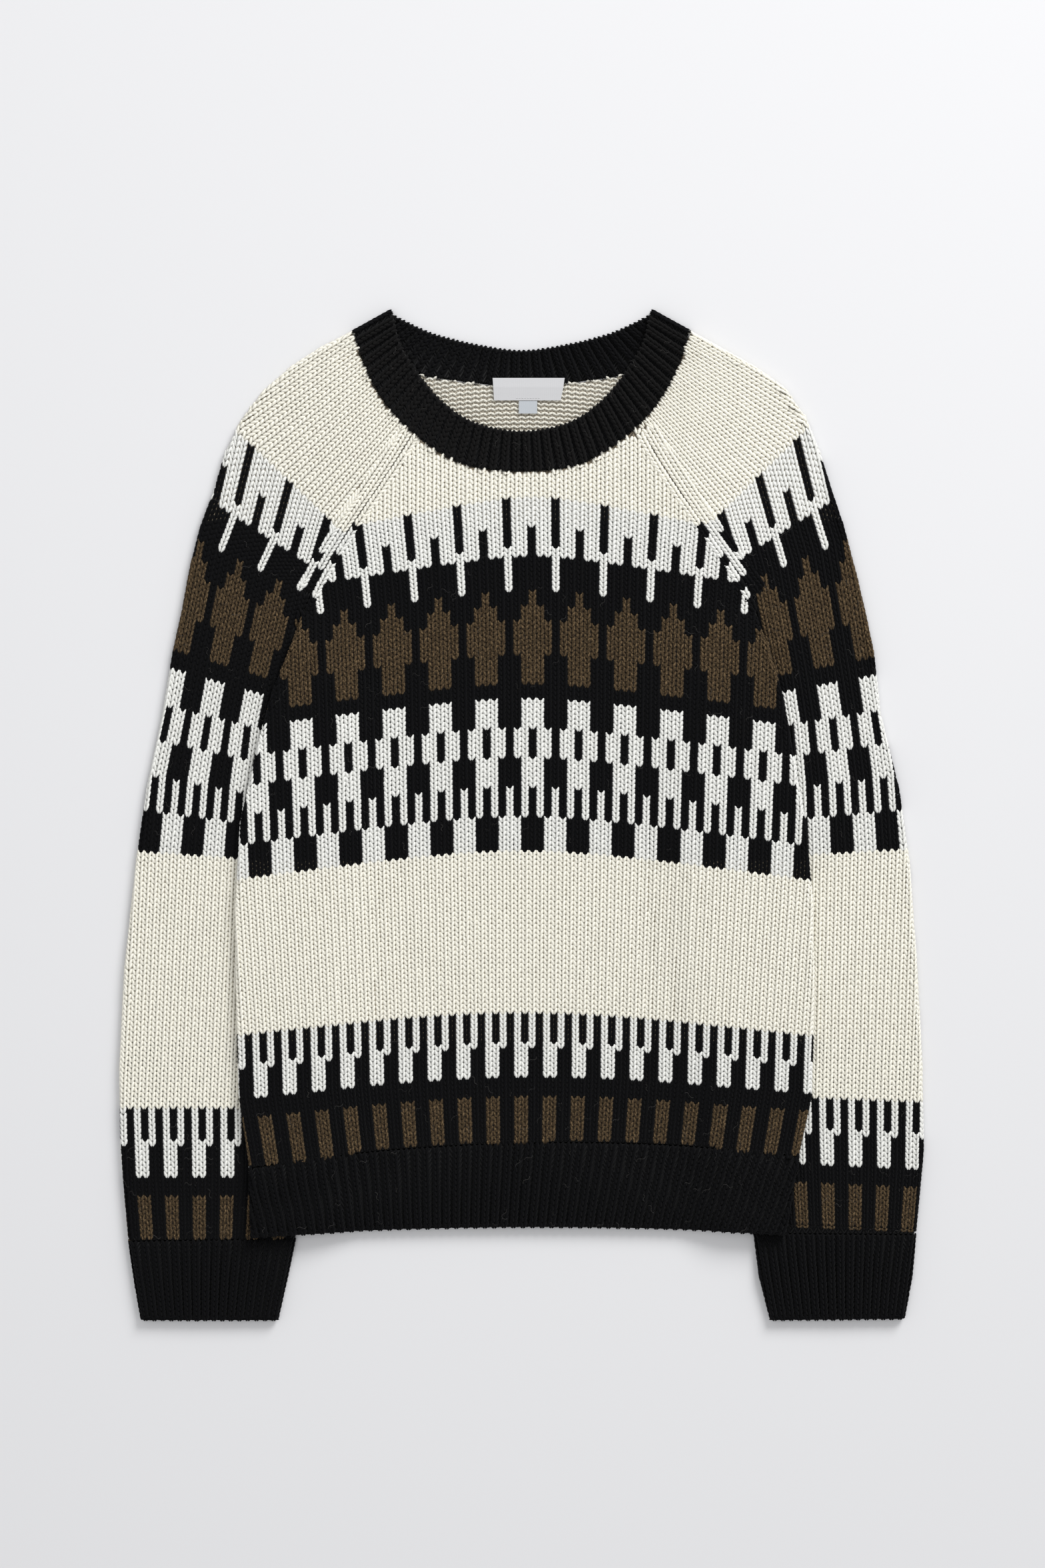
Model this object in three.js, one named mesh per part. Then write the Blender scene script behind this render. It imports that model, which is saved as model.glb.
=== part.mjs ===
// Patterned jumper, laid flat on its back. Millimetres, +X right, +Y to the neck, +Z up.
// Every knitted piece is its own wall. The front lies on the back, and the body lies over the sleeves.

import * as THREE from 'three';

// Knitting
const WALL = 3;          // thickness of one layer
const SEAM = 0.3;        // gap between two pieces at a seam
const NECK_SEAM = 0.7;   // the same at the neck seam's corners, less between them
const LAY = 0.6;         // gap between two layers that lie on each other
const RIB = 0.8;         // height of a rib over its valley
const SEAM_EASE = 0.8;   // how far a seam edge drops
const FOLD_EASE = 1.8;   // how far a side edge rounds away

// Layers
const BODY_LIFT = 2 * WALL + 2 * LAY;   // height of the body over a sleeve
const RAMP = 45;                        // width over which the body climbs on to a sleeve
const RAMP_END = 12;                    // how far inside the sleeve's edge the climb ends
const NECK_RISE = 1.4;                  // extra height of the front round the neck
const RISE_AT = { x: 0, y: 330, full: 140, end: 200 };

// Counts
const FRONT_RIBS = 40;   // neckband, front half
const BACK_RIBS = 28;    // neckband, back half
const HEM_RIBS = 56;
const CUFF_RIBS = 16;
const CAP_ROWS = 8;      // rows between underarm and neck

// Body: left x, left y, right x, right y, y at the middle
const BODY = [
  [-207, -268, 211, -259, -250],
  [-215, -213, 221, -213, -197],
  [-217, -141, 223, -139, -122],
  [-218, -72, 222, -69, -54],
  [-214, -6, 216, -4, 12],
  [-201, 53, 205, 57, 73],
  [-190, 93, 199, 91, 111],
  [-177, 126, 188, 129, 142],
  [-171, 143, 182, 144, 157],
  [-167, 156, 178, 161, 170],
];
const HEM_EDGE = [-206, -321, 201, -319, -314];
const BODY_COLUMNS = [0, 0.005, 0.05, 0.1, 0.145, 0.175, 0.21, 0.245, 0.28, 0.36, 0.43, 0.5];

// Sleeves, from the cuff to the underarm: fold x, fold y, inner edge x, inner edge y
const SLEEVE_LEFT = [
  [-300, -325, -173, -323],
  [-306, -256, -167, -253],
  [-307, -192, -163, -192],
  [-303, -116, -157, -116],
  [-294, -34, -152, -39],
  [-286, 21, -146, 7],
  [-274, 78, -144, 53],
  [-266, 125, -152, 91],
  [-259, 157, -177, 126],
  [-255, 179, -171, 143],
  [-252, 194, -167, 156],
];
const SLEEVE_RIGHT = [
  [301, -320, 178, -319],
  [307, -256, 170, -253],
  [306, -192, 163, -192],
  [302, -116, 157, -116],
  [296, -34, 152, -39],
  [288, 21, 146, 7],
  [274, 78, 144, 53],
  [269, 125, 157, 93],
  [262, 157, 188, 129],
  [257, 179, 182, 144],
  [253, 194, 178, 161],
];

// Cuffs, from the sleeve to the open end: fold x, fold y, inner fold x, inner fold y
const CUFF_LEFT = [
  [-300, -325.3, -173, -323.3],
  [-295, -358, -179, -352],
  [-290.5, -383, -186, -383],
  [-290, -385, -186, -385],
];
const CUFF_RIGHT = [
  [301, -320.3, 178, -319.3],
  [298, -352, 182, -352],
  [292.5, -382, 190, -383],
  [292, -384, 190, -385],
];

// Shoulder fold from the underarm row to the neck: x, y
const SHOULDER_LEFT = [
  [-252, 194], [-246, 218], [-236, 244], [-226, 277], [-210, 308],
  [-195, 326], [-170, 347], [-144, 362], [-127, 369],
];
const SHOULDER_RIGHT = [
  [253, 194], [247, 218], [238, 244], [228, 277], [216, 305],
  [208, 320], [192, 333], [173, 346], [148, 359], [126, 369],
];

// Raglan seams from the underarm to the neck; the last point is the corner on the neck seam
const RAGLANS = {
  frontLeft: [[-167, 156], [-157, 175], [-148, 193], [-133, 216], [-118, 238], [-101, 263], [-82, 292]],
  frontRight: [[178, 161], [171, 179], [158, 196], [143, 216], [126, 238], [111, 264], [88, 297]],
  backLeft: [[-167, 156], [-154, 190], [-138, 228], [-121, 267], [-106, 305], [-92, 344]],
  backRight: [[178, 161], [166, 193], [151, 231], [134, 269], [116, 308], [92, 344]],
};

// Neckband edges from the left fold to the middle; the right half mirrors them
const SEAM_FRONT = [[-127, 366], [-119, 342], [-106, 318], [-88, 297], [-65, 279], [-40, 267], [0, 263]];
const FREE_FRONT = [[-98, 382], [-93, 361], [-80, 339], [-62, 317], [-37, 300], [0, 293]];
const SEAM_BACK = [[-127, 366], [-111, 354], [-92, 344], [-77, 337], [-54, 333], [0, 328]];
const FREE_BACK = [[-98, 382], [-88, 377], [-68, 368], [-37, 360], [0, 355]];
const BAND_EDGE = 1.5;   // width of the eased edges of the band

// Label and size tab, inside the back below the neck seam
const LABEL = { y: [317, 327, 334], left: [-21, -21.5, -22], right: [30, 32, 33], z: [3.3, 4.3, 4.3], thick: 0.8 };
const TAB = { x: [-2, 12], y: [307, 316.6], z: 3.3, thick: 0.8 };

// Plan curves

const lerp = (a, b, t) => a + (b - a) * t;
const mix = (p, q, t) => [lerp(p[0], q[0], t), lerp(p[1], q[1], t)];
const add = (p, q, k = 1) => [p[0] + k * q[0], p[1] + k * q[1]];

function smooth(t) {
  const k = Math.min(1, Math.max(0, t));
  return 0.5 - 0.5 * Math.cos(Math.PI * k);
}

function unit(p, q) {
  const length = Math.hypot(q[0] - p[0], q[1] - p[1]);
  return [(q[0] - p[0]) / length, (q[1] - p[1]) / length];
}

function curve(points) {
  return new THREE.CatmullRomCurve3(points.map(([x, y]) => new THREE.Vector3(x, y, 0)), false, 'centripetal');
}

const mirrored = (half) => curve([...half, ...half.slice(0, -1).reverse().map(([x, y]) => [-x, y])]);

function at(line, t) {
  const point = line.getPointAt(t);
  return [point.x, point.y];
}

// Point on a neck seam, moved away from the opening by the seam gap
function beside(line, t) {
  const tangent = line.getTangentAt(t);
  return add(at(line, t), [tangent.y, -tangent.x], NECK_SEAM);
}

// Share of a line's length at which it passes a corner
function shareAt(line, corner) {
  let best = 0;
  let least = Infinity;
  for (let k = 0; k <= 2000; k += 1) {
    const [x, y] = at(line, k / 2000);
    const gap = Math.hypot(x - corner[0], y - corner[1]);
    if (gap < least) {
      least = gap;
      best = k / 2000;
    }
  }
  return best;
}

const seamFront = mirrored(SEAM_FRONT);
const freeFront = mirrored(FREE_FRONT);
const seamBack = mirrored(SEAM_BACK);
const freeBack = mirrored(FREE_BACK);

// A raglan seam, drawn through its table and ended beside the neck seam
function raglan(rows, neck) {
  const share = shareAt(neck, rows[rows.length - 1]);
  return { line: curve([...rows.slice(0, -1), beside(neck, share)]), share };
}

const raglans = {
  frontLeft: raglan(RAGLANS.frontLeft, seamFront),
  frontRight: raglan(RAGLANS.frontRight, seamFront),
  backLeft: raglan(RAGLANS.backLeft, seamBack),
  backRight: raglan(RAGLANS.backRight, seamBack),
};

// Heights of the layers

function across(rows, y) {
  if (y <= rows[0][3]) return Math.abs(rows[0][2]);
  for (let i = 1; i < rows.length; i += 1) {
    if (y <= rows[i][3]) {
      const t = (y - rows[i - 1][3]) / (rows[i][3] - rows[i - 1][3]);
      return Math.abs(lerp(rows[i - 1][2], rows[i][2], t));
    }
  }
  return Math.abs(rows[rows.length - 1][2]);
}

function lift(x, y) {
  const rows = x < 0 ? SLEEVE_LEFT : SLEEVE_RIGHT;
  const underarm = rows[rows.length - 1][3];
  const lying = rows[rows.length - 3][3];
  const start = across(rows, y) - RAMP_END - RAMP;
  return BODY_LIFT * smooth((Math.abs(x) - start) / RAMP) * smooth((underarm - y) / (underarm - lying));
}

function rise(x, y) {
  const far = Math.hypot(x - RISE_AT.x, y - RISE_AT.y);
  return NECK_RISE * smooth((RISE_AT.end - far) / (RISE_AT.end - RISE_AT.full));
}

const backBase = (x, y) => lift(x, y);
const frontBase = (x, y) => lift(x, y) + WALL + LAY + rise(x, y);
const sleeveTop = (x, y) => WALL + LAY + rise(x, y);

// Closed wall between two sheets of points; a ring joins its last column to its first

function wall(name, colour, outer, inner, ring = false) {
  const rows = outer.length;
  const columns = outer[0].length;
  const points = [...outer.flat(), ...inner.flat()];
  const a = (i, j) => i * columns + (j % columns);
  const b = (i, j) => rows * columns + a(i, j);
  const faces = [];
  const quad = (p, q, r, s) => faces.push([p, q, r], [p, r, s]);
  const last = ring ? columns : columns - 1;
  for (let i = 0; i < rows - 1; i += 1) {
    for (let j = 0; j < last; j += 1) {
      quad(a(i, j), a(i, j + 1), a(i + 1, j + 1), a(i + 1, j));
      quad(b(i, j), b(i + 1, j), b(i + 1, j + 1), b(i, j + 1));
    }
    if (!ring) {
      quad(a(i, 0), a(i + 1, 0), b(i + 1, 0), b(i, 0));
      quad(a(i + 1, last), a(i, last), b(i, last), b(i + 1, last));
    }
  }
  for (let j = 0; j < last; j += 1) {
    quad(a(0, j + 1), a(0, j), b(0, j), b(0, j + 1));
    quad(a(rows - 1, j), a(rows - 1, j + 1), b(rows - 1, j + 1), b(rows - 1, j));
  }
  let volume = 0;
  for (const [p, q, r] of faces) {
    const [u, v, w] = [points[p], points[q], points[r]];
    volume += u[0] * (v[1] * w[2] - v[2] * w[1]) - u[1] * (v[0] * w[2] - v[2] * w[0])
      + u[2] * (v[0] * w[1] - v[1] * w[0]);
  }
  const geometry = new THREE.BufferGeometry();
  geometry.setAttribute('position', new THREE.Float32BufferAttribute(points.flat(), 3));
  geometry.setIndex((volume < 0 ? faces.map(([p, q, r]) => [p, r, q]) : faces).flat());
  geometry.computeVertexNormals();
  const material = new THREE.MeshStandardMaterial({ color: colour, roughness: 0.95, metalness: 0 });
  material.name = name;
  const mesh = new THREE.Mesh(geometry, material);
  mesh.name = name;
  return mesh;
}

// Panels of the body

const columnShares = [...BODY_COLUMNS, ...BODY_COLUMNS.slice(0, -1).reverse().map((s) => 1 - s)];

// Plan point on an arched row
function arched([xl, yl, xr, yr, ym], s) {
  const crown = ym - (yl + yr) / 2;
  return [lerp(xl, xr, s), lerp(yl, yr, s) + crown * (1 - (2 * s - 1) ** 2)];
}

// Plan rows of a panel: the arched rows up to the underarm, then rows that bend into the neck seam
function bodyRows(neck, left, right) {
  const gap = SEAM * 0.7;
  const rows = BODY.map((row) => {
    const seamed = row[1] > 120 ? gap : 0;
    const inset = [row[0] + seamed, row[1], row[2] - seamed, row[3], row[4]];
    return columnShares.map((s) => arched(inset, s));
  });
  const top = BODY[BODY.length - 1];
  const crown = top[4] - (top[1] + top[3]) / 2;
  for (let k = 1; k <= CAP_ROWS; k += 1) {
    const l = add(at(left.line, k / CAP_ROWS), [gap, 0]);
    const r = add(at(right.line, k / CAP_ROWS), [-gap, 0]);
    const fade = (k / CAP_ROWS) ** 2;
    const ends = [beside(neck, left.share), beside(neck, right.share)];
    rows.push(columnShares.map((s) => {
      const bow = add(beside(neck, lerp(left.share, right.share, s)), mix(ends[0], ends[1], s), -1);
      const plain = add(mix(l, r, s), [0, (1 - fade) * crown * (1 - (2 * s - 1) ** 2)]);
      return add(plain, bow, fade);
    }));
  }
  return rows;
}

// Drop of the upper edge (or rise of the lower one) towards the sides of a row
function sideEase(j, count, row) {
  const edge = row < BODY.length - 2 ? FOLD_EASE : SEAM_EASE;
  const fromSide = Math.min(j, count - 1 - j);
  return fromSide === 0 ? edge : 0;
}

function frontPanel() {
  const rows = bodyRows(seamFront, raglans.frontLeft, raglans.frontRight);
  const last = rows.length - 1;
  const outer = rows.map((row, i) => row.map(([x, y], j) => {
    const neckDrop = i === last ? SEAM_EASE : 0;
    const drop = Math.max(sideEase(j, row.length, i), neckDrop);
    return [x, y, frontBase(x, y) + WALL - drop];
  }));
  const inner = rows.map((row) => row.map(([x, y]) => [x, y, frontBase(x, y)]));
  return wall('front_panel', 0x8d8a80, outer, inner);
}

function backPanel() {
  const rows = bodyRows(seamBack, raglans.backLeft, raglans.backRight);
  const outer = rows.map((row) => row.map(([x, y]) => [x, y, backBase(x, y) + WALL]));
  const inner = rows.map((row, i) => row.map(([x, y], j) => {
    const round = i < BODY.length - 2 ? sideEase(j, row.length, i) : 0;
    return [x, y, backBase(x, y) + round];
  }));
  return wall('back_panel', 0x8d8a80, outer, inner);
}

// Hem, front and back

function hem(name, base, ribs, columns, upper) {
  const edge = BODY[0];
  const shares = Array.from({ length: columns + 1 }, (_, j) => j / columns);
  const plan = (s, t) => add(mix(arched(edge, s), arched(HEM_EDGE, s), t), [0, -SEAM * (1 - t)]);
  const steps = [0, 0.965, 1];
  const outer = steps.map((t, i) => shares.map((s, j) => {
    const [x, y] = plan(s, t);
    const crest = ribs && j % 2 === 1 ? RIB : 0;
    const side = upper && (j === 0 || j === columns) ? FOLD_EASE : 0;
    const end = i === 2 ? SEAM_EASE : 0;
    return [x, y, base(x, y) + WALL + crest - side - end];
  }));
  const inner = steps.map((t, i) => shares.map((s, j) => {
    const [x, y] = plan(s, t);
    const side = !upper && (j === 0 || j === columns) ? FOLD_EASE : 0;
    const end = i === 2 && !upper ? SEAM_EASE : 0;
    return [x, y, base(x, y) + Math.max(side, end)];
  }));
  return wall(name, 0x17171b, outer, inner);
}

// Sleeves: a wall folded over at its outer side, open along the underarm and raglan seams

const TOP_COLUMNS = 8;
const FOLD_STEPS = 4;
const UNDER_COLUMNS = 6;

// Direction in which a neck fold points, square to the fold line
function foldWay(side) {
  const [s, f] = [SEAM_FRONT[0], FREE_FRONT[0]];
  const along = unit(s, f);
  return [-along[1] * (side < 0 ? 1 : -1), along[0]];
}

function sleeve(name, side, table, shoulder, front, back) {
  const line = curve(shoulder);
  const gap = side * SEAM * 0.7;
  const neckShare = side < 0 ? 0 : 1;
  const stations = table.map(([ox, oy, ix, iy]) => {
    const seamed = iy > 120 ? gap : 0;
    return { outer: [ox, oy], front: [ix + seamed, iy], back: [ix + seamed, iy], fade: 0 };
  });
  for (let k = 1; k <= CAP_ROWS; k += 1) {
    const t = k / CAP_ROWS;
    stations.push({
      outer: at(line, t),
      front: add(at(front.line, t), [gap, 0]),
      back: add(at(back.line, t), [gap, 0]),
      fade: t ** 2,
    });
  }
  const neckFront = (s) => beside(seamFront, lerp(front.share, neckShare, s));
  const neckBack = (s) => beside(seamBack, lerp(neckShare, back.share, s));
  const bow = (edge, s) => (s === 0 || s === 1 ? [0, 0] : add(edge(s), mix(edge(0), edge(1), s), -1));
  const outer = [];
  const inner = [];
  stations.forEach(({ outer: o, front: f, back: b, fade }, i) => {
    const last = i === stations.length - 1;
    const height = 2 * WALL + LAY + rise(o[0], o[1]);
    const radius = height / 2;
    const inward = last ? foldWay(side).map((v) => -v) : unit(o, mix(f, b, 0.5));
    const centre = last ? beside(seamFront, neckShare) : add(o, inward, radius);
    const outerRow = [];
    const innerRow = [];
    for (let j = 0; j < TOP_COLUMNS; j += 1) {
      const s = j / TOP_COLUMNS;
      const [x, y] = add(mix(f, centre, s), bow(neckFront, s), fade);
      const drop = j === 0 || last ? SEAM_EASE : 0;
      outerRow.push([x, y, sleeveTop(x, y) + WALL - drop]);
      innerRow.push([x, y, sleeveTop(x, y)]);
    }
    for (let j = 0; j <= FOLD_STEPS; j += 1) {
      const turn = (Math.PI * j) / FOLD_STEPS;
      const hole = radius - WALL;
      const [out, up] = [-Math.sin(turn), Math.cos(turn)];
      outerRow.push([...add(centre, inward, radius * out), radius + radius * up]);
      innerRow.push([...add(centre, inward, hole * out), radius + hole * up]);
    }
    for (let j = 1; j <= UNDER_COLUMNS; j += 1) {
      const s = j / UNDER_COLUMNS;
      const [x, y] = add(mix(centre, b, s), bow(neckBack, s), fade);
      outerRow.push([x, y, 0]);
      innerRow.push([x, y, WALL]);
    }
    outer.push(outerRow);
    inner.push(innerRow);
  });
  return wall(name, 0x8d8a80, outer, inner);
}

// Cuffs: a flattened tube, ribbed on top

function cuff(name, table) {
  const radius = WALL + LAY / 2;
  const hole = LAY / 2;
  const outer = [];
  const inner = [];
  table.forEach(([ox, oy, ix, iy], i) => {
    const way = unit([ox, oy], [ix, iy]);
    const from = add([ix, iy], way, -radius);
    const to = add([ox, oy], way, radius);
    const end = i === table.length - 1 ? SEAM_EASE : 0;
    const [outerRow, innerRow] = [[], []];
    const columns = 2 * CUFF_RIBS;
    for (let j = 0; j <= columns; j += 1) {
      const [x, y] = mix(from, to, j / columns);
      outerRow.push([x, y, 2 * radius - end + (j % 2 === 1 ? RIB : 0)]);
      innerRow.push([x, y, radius + hole]);
    }
    for (const turn of [0.25, 0.5, 0.75]) {
      const [out, up] = [-Math.sin(Math.PI * turn), Math.cos(Math.PI * turn)];
      outerRow.push([...add(to, way, (radius - end) * out), radius + radius * up]);
      innerRow.push([...add(to, way, hole * out), radius + hole * up]);
    }
    for (let j = 0; j <= 4; j += 1) {
      const [x, y] = mix(to, from, j / 4);
      outerRow.push([x, y, end]);
      innerRow.push([x, y, radius - hole]);
    }
    for (const turn of [0.75, 0.5, 0.25]) {
      const [out, up] = [Math.sin(Math.PI * turn), Math.cos(Math.PI * turn)];
      outerRow.push([...add(from, way, (radius - end) * out), radius + radius * up]);
      innerRow.push([...add(from, way, hole * out), radius + hole * up]);
    }
    outer.push(outerRow);
    inner.push(innerRow);
  });
  return wall(name, 0x17171b, outer, inner, true);
}

// Neckband: one ring, the front half on top, folded at both shoulders to the back half beneath

function neckband() {
  const height = 2 * WALL + LAY + NECK_RISE;
  const radius = height / 2;
  const hole = radius - WALL;
  const columns = [];
  const frontCount = 2 * FRONT_RIBS;
  for (let j = 0; j <= frontCount; j += 1) {
    const [s, f] = [at(seamFront, j / frontCount), at(freeFront, j / frontCount)];
    columns.push({ s, f, way: [0, 0], turn: 0, rib: j % 2 === 1 ? RIB : 0 });
  }
  for (let j = 1; j < 5; j += 1) {
    const [s, f] = [at(seamFront, 1), at(freeFront, 1)];
    columns.push({ s, f, way: foldWay(1), turn: (Math.PI * j) / 5, rib: 0 });
  }
  const backCount = 2 * BACK_RIBS;
  for (let j = backCount; j >= 0; j -= 1) {
    const [s, f] = [at(seamBack, j / backCount), at(freeBack, j / backCount)];
    columns.push({ s, f, way: [0, 0], turn: Math.PI, rib: j % 2 === 1 ? RIB : 0 });
  }
  for (let j = 4; j > 0; j -= 1) {
    const [s, f] = [at(seamFront, 0), at(freeFront, 0)];
    columns.push({ s, f, way: foldWay(-1), turn: (Math.PI * j) / 5, rib: 0 });
  }
  const steps = [
    { share: 0, from: 0, ease: 0.6 },
    { share: 0, from: BAND_EDGE, ease: 0 },
    { share: 1, from: -BAND_EDGE, ease: 0 },
    { share: 1, from: 0, ease: 0.9 },
  ];
  const side = (face) => steps.map(({ share, from, ease }) => columns.map(({ s, f, way, turn, rib }) => {
    const plan = add(mix(s, f, share), unit(s, f), from);
    const over = turn < Math.PI / 2;
    const relief = (face === 'out') === over ? rib : 0;
    const flat = turn === Math.PI && face === 'out' && share === 0 ? 0 : ease;
    const reach = face === 'out' ? radius - flat + relief : hole + (share === 1 ? flat : 0) - relief;
    return [...add(plan, way, reach * Math.sin(turn)), radius + reach * Math.cos(turn)];
  }));
  return wall('neckband', 0x17171b, side('out'), side('in'), true);
}

// Label and size tab

function label() {
  const { y, left, right, z, thick } = LABEL;
  const sheet = (up) => y.map((v, i) => [0, 0.5, 1].map((s) => [lerp(left[i], right[i], s), v, z[i] + up]));
  return wall('label', 0xd9d9d4, sheet(thick), sheet(0));
}

function sizeTab() {
  const sheet = (z) => TAB.y.map((y) => TAB.x.map((x) => [x, y, z]));
  return wall('size_tab', 0xe2e2de, sheet(TAB.z + TAB.thick), sheet(TAB.z));
}

const jumper = new THREE.Group();
jumper.name = 'jumper';
jumper.add(
  frontPanel(),
  backPanel(),
  sleeve('sleeve_left', -1, SLEEVE_LEFT, SHOULDER_LEFT, raglans.frontLeft, raglans.backLeft),
  sleeve('sleeve_right', 1, SLEEVE_RIGHT, SHOULDER_RIGHT, raglans.frontRight, raglans.backRight),
  hem('hem_front', frontBase, true, 2 * HEM_RIBS, true),
  hem('hem_back', backBase, false, HEM_RIBS, false),
  cuff('cuff_left', CUFF_LEFT),
  cuff('cuff_right', CUFF_RIGHT),
  neckband(),
  label(),
  sizeTab(),
);

export default jumper;
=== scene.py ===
"""Fair isle jumper, laid flat. Each stitch that shows from above is a modelled shape, laid in rows."""

import math

import bmesh
import bpy
import numpy as np
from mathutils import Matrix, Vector
from mathutils.bvhtree import BVHTree
from mathutils.kdtree import KDTree


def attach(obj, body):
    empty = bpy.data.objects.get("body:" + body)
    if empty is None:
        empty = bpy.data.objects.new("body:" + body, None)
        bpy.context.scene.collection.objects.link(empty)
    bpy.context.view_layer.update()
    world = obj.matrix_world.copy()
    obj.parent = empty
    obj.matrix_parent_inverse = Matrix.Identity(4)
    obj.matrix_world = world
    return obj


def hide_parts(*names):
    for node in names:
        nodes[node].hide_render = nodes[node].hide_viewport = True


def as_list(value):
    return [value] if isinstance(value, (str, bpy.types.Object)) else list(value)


MM = 0.001

# Knitting: lengths in millimetres, angles in degrees, sizes and spreads as shares
WALE = 5.87
COURSE = 3.75
LEG_WIDTH = 2.85
LEG_LENGTH = 6.2
LEG_HEIGHT = 2.4
LEG_LEAN = 18
LEG_DIP = 7
LEG_TAPER = 0.16
PURL_LEAN = 62
PURL_SIZE = (0.74, 0.68, 0.9)
THREAD_SIZE = (0.13, 0.24, 0.2)
SIZE_SPREAD = (0.97, 1.03)
TONE_SPREAD = (0.975, 1.02)
LOOSE = 0.02
HIDDEN = 12
FLOOR_GAP = 0.15

# How far each kind of stitch, and the cloth under it, is let in, in millimetres
STITCH_SINK = 0.75
PURL_SINK = 0.7
RIB_STITCH_SINK = 0.45
CAST_ON_SINK = 0.6
FOLD_STITCH_SINK = 0.3
HAIR_SINK = 0.05
BASE_SINK = 1.15
RIB_SINK = 1.9
TUCK = 1.0

# Size and place of a stitch's two legs in its square of the bake layout
BAKE_SIZE = (0.46, 0.94)
BAKE_RIGHT = (0.52, 0.03)
BAKE_LEFT = (0.02, 0.03)

# Yarn colours, linear
BLACK = (0.0026, 0.0026, 0.0032)
# Black yarn lightened as painted sheen, for the front ribs of the neckband
SHEEN_BAND_BLACK = (0.006, 0.0057, 0.0057)
WHITE = (0.81, 0.81, 0.775)
CREAM = (0.88, 0.855, 0.76)
BROWN = (0.042, 0.028, 0.015)
FLECK = (0.17, 0.115, 0.06)
YARNS = {"k": BLACK, "w": WHITE, "c": CREAM, "b": BROWN}
CLOTH_YARNS = {**YARNS, "b": (0.072, 0.049, 0.027)}
# Cream darkened as painted shade, for the purl side inside the back
SHADED_PURL_CREAM = tuple(0.88 * c for c in CREAM)
# Cream darkened as painted shade, for the holes between stitches where the cloth under them shows
SHADED_CREAM = (0.30, 0.25, 0.18)
# Cream darkened as painted shade, for the cloth inside the back that the neck opening shows
SHADED_INSIDE_CREAM = (0.52, 0.47, 0.38)
SEWING_GREY = (0.5, 0.5, 0.5)
HAIR_GREY = (0.10, 0.095, 0.09)
LABEL_GREY = (0.63, 0.63, 0.64)
TAB_GREY = (0.51, 0.54, 0.57)

# Textures: how yarn is drawn out along the wales, scales, depths in metres, slant of a loop
ALONG_YARN = (1, 0.28, 1)
FIBRE_SCALE = 2600
FIBRE_DEPTH = 0.00022
FLECK_SCALE = 1500
LOOP_DEPTH = 0.0008
LOOP_SLANT = -1.6
TAPE_DEPTH = 0.0001
TAPE_SCALES = (420, 560)

# Cloth under the stitches: start of each band of colour in Y, in metres, with painted shade of cream in
# the holes between pale stitches; a facing is the Z of a normal
BACKING_LOW = -0.4
BACKING_HIGH = 0.4
BACKING_YARN_AND_SHADE_BANDS = [(BACKING_LOW, BLACK), (-0.172, SHADED_CREAM), (-0.035, BLACK), (0.225, SHADED_CREAM)]
BACK_YARN_AND_SHADE_BANDS = BACKING_YARN_AND_SHADE_BANDS[:3] + [(0.225, SHADED_INSIDE_CREAM)]
UNDERSIDE_FACING = -0.2
LET_IN_FACING = -0.3
SMOOTH_ANGLE = 50
MERGE = 1e-6

# Charts: last row of each stretch, then its repeat from left to right
YOKE = [
    (0, "cccccc"),
    (6, "kwwwww"),
    (10, "kwwkww"),
    (12, "wwwkww"),
    (19, "wkkkkk"),
    (22, "kkkbkk"),
    (25, "kkbbbk"),
    (32, "kbbbbb"),
    (38, "kkbbbk"),
    (41, "kkkkkk"),
    (47, "kkwwwk"),
    (53, "kwwkww"),
    (59, "kkwwwk"),
    (65, "wkwkwk"),
    (72, "wwkkkw"),
]
BORDER = [(5, "wkwk"), (6, "wwwk"), (12, "wwkk"), (16, "kkkk"), (26, "bbkk")]
BORDER_SHIFT = -1
CHART_TURN = 12
CHART_START = -40
TOP_ROW = -31

# Body: rows, wale pitch, droop of a row towards the sides and the width of its crown
BODY_WALES = (-44, 47)
BODY_CENTRE_Y = 244.8
COURSE_FIT = 0.99947
BODY_FIX_WALE = 1.5
BODY_FIX_X = ([0, 19, 38], [-2.4, -0.7, -0.25])
BODY_AXIS = ([0, 19, 50], [8, 8, 0])
BODY_LAST_ROW = 132
BODY_BORDER_ROW = 106
BODY_PITCH = ([1, 10, 19, 38, 72, 105, 118, 132], [6.27, 6.11, 5.99, 5.89, 5.75, 5.54, 5.50, 5.27])
BODY_DROOP = ([0, 19, 38, 72, 105, 132], [0.20, 0.13, 0.13, 0.14, 0.12, 0.084])
BODY_CROWN = ([0, 19, 38, 72, 105, 132], [30, 30, 50, 75, 100, 100])
BODY_TILT = ([0, 105, 132], [0, 0, 0.0215])
HALF_SIDE = 110

# Sleeves: row, x and y of the reference wale, then the step to the next wale
SLEEVE_WALES = (-26, 26)
SLEEVE_CHART_SHIFT = 3
SLEEVE_LAST_ROW = 149
SLEEVE_BORDER_ROW = 123
SLEEVE_LEFT = [
    (-27, -109.9, 338.1, 2.57, -4.25),
    (0, -191.0, 270.8, 4.85, -4.68),
    (12, -203.8, 221.0, 4.95, -3.30),
    (19, -214.2, 196.4, 4.98, -2.52),
    (38, -230.8, 118.3, 4.97, -1.52),
    (47, -238.4, 78.0, 4.95, -1.22),
    (59, -247.1, 26.0, 5.35, -1.03),
    (72, -251.7, -28.1, 5.54, -0.39),
    (122, -260.4, -221.3, 5.52, 0.0),
    (135, -259.6, -273.9, 5.40, 0.0),
    (149, -258.3, -324.9, 5.00, 0.0),
]
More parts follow.
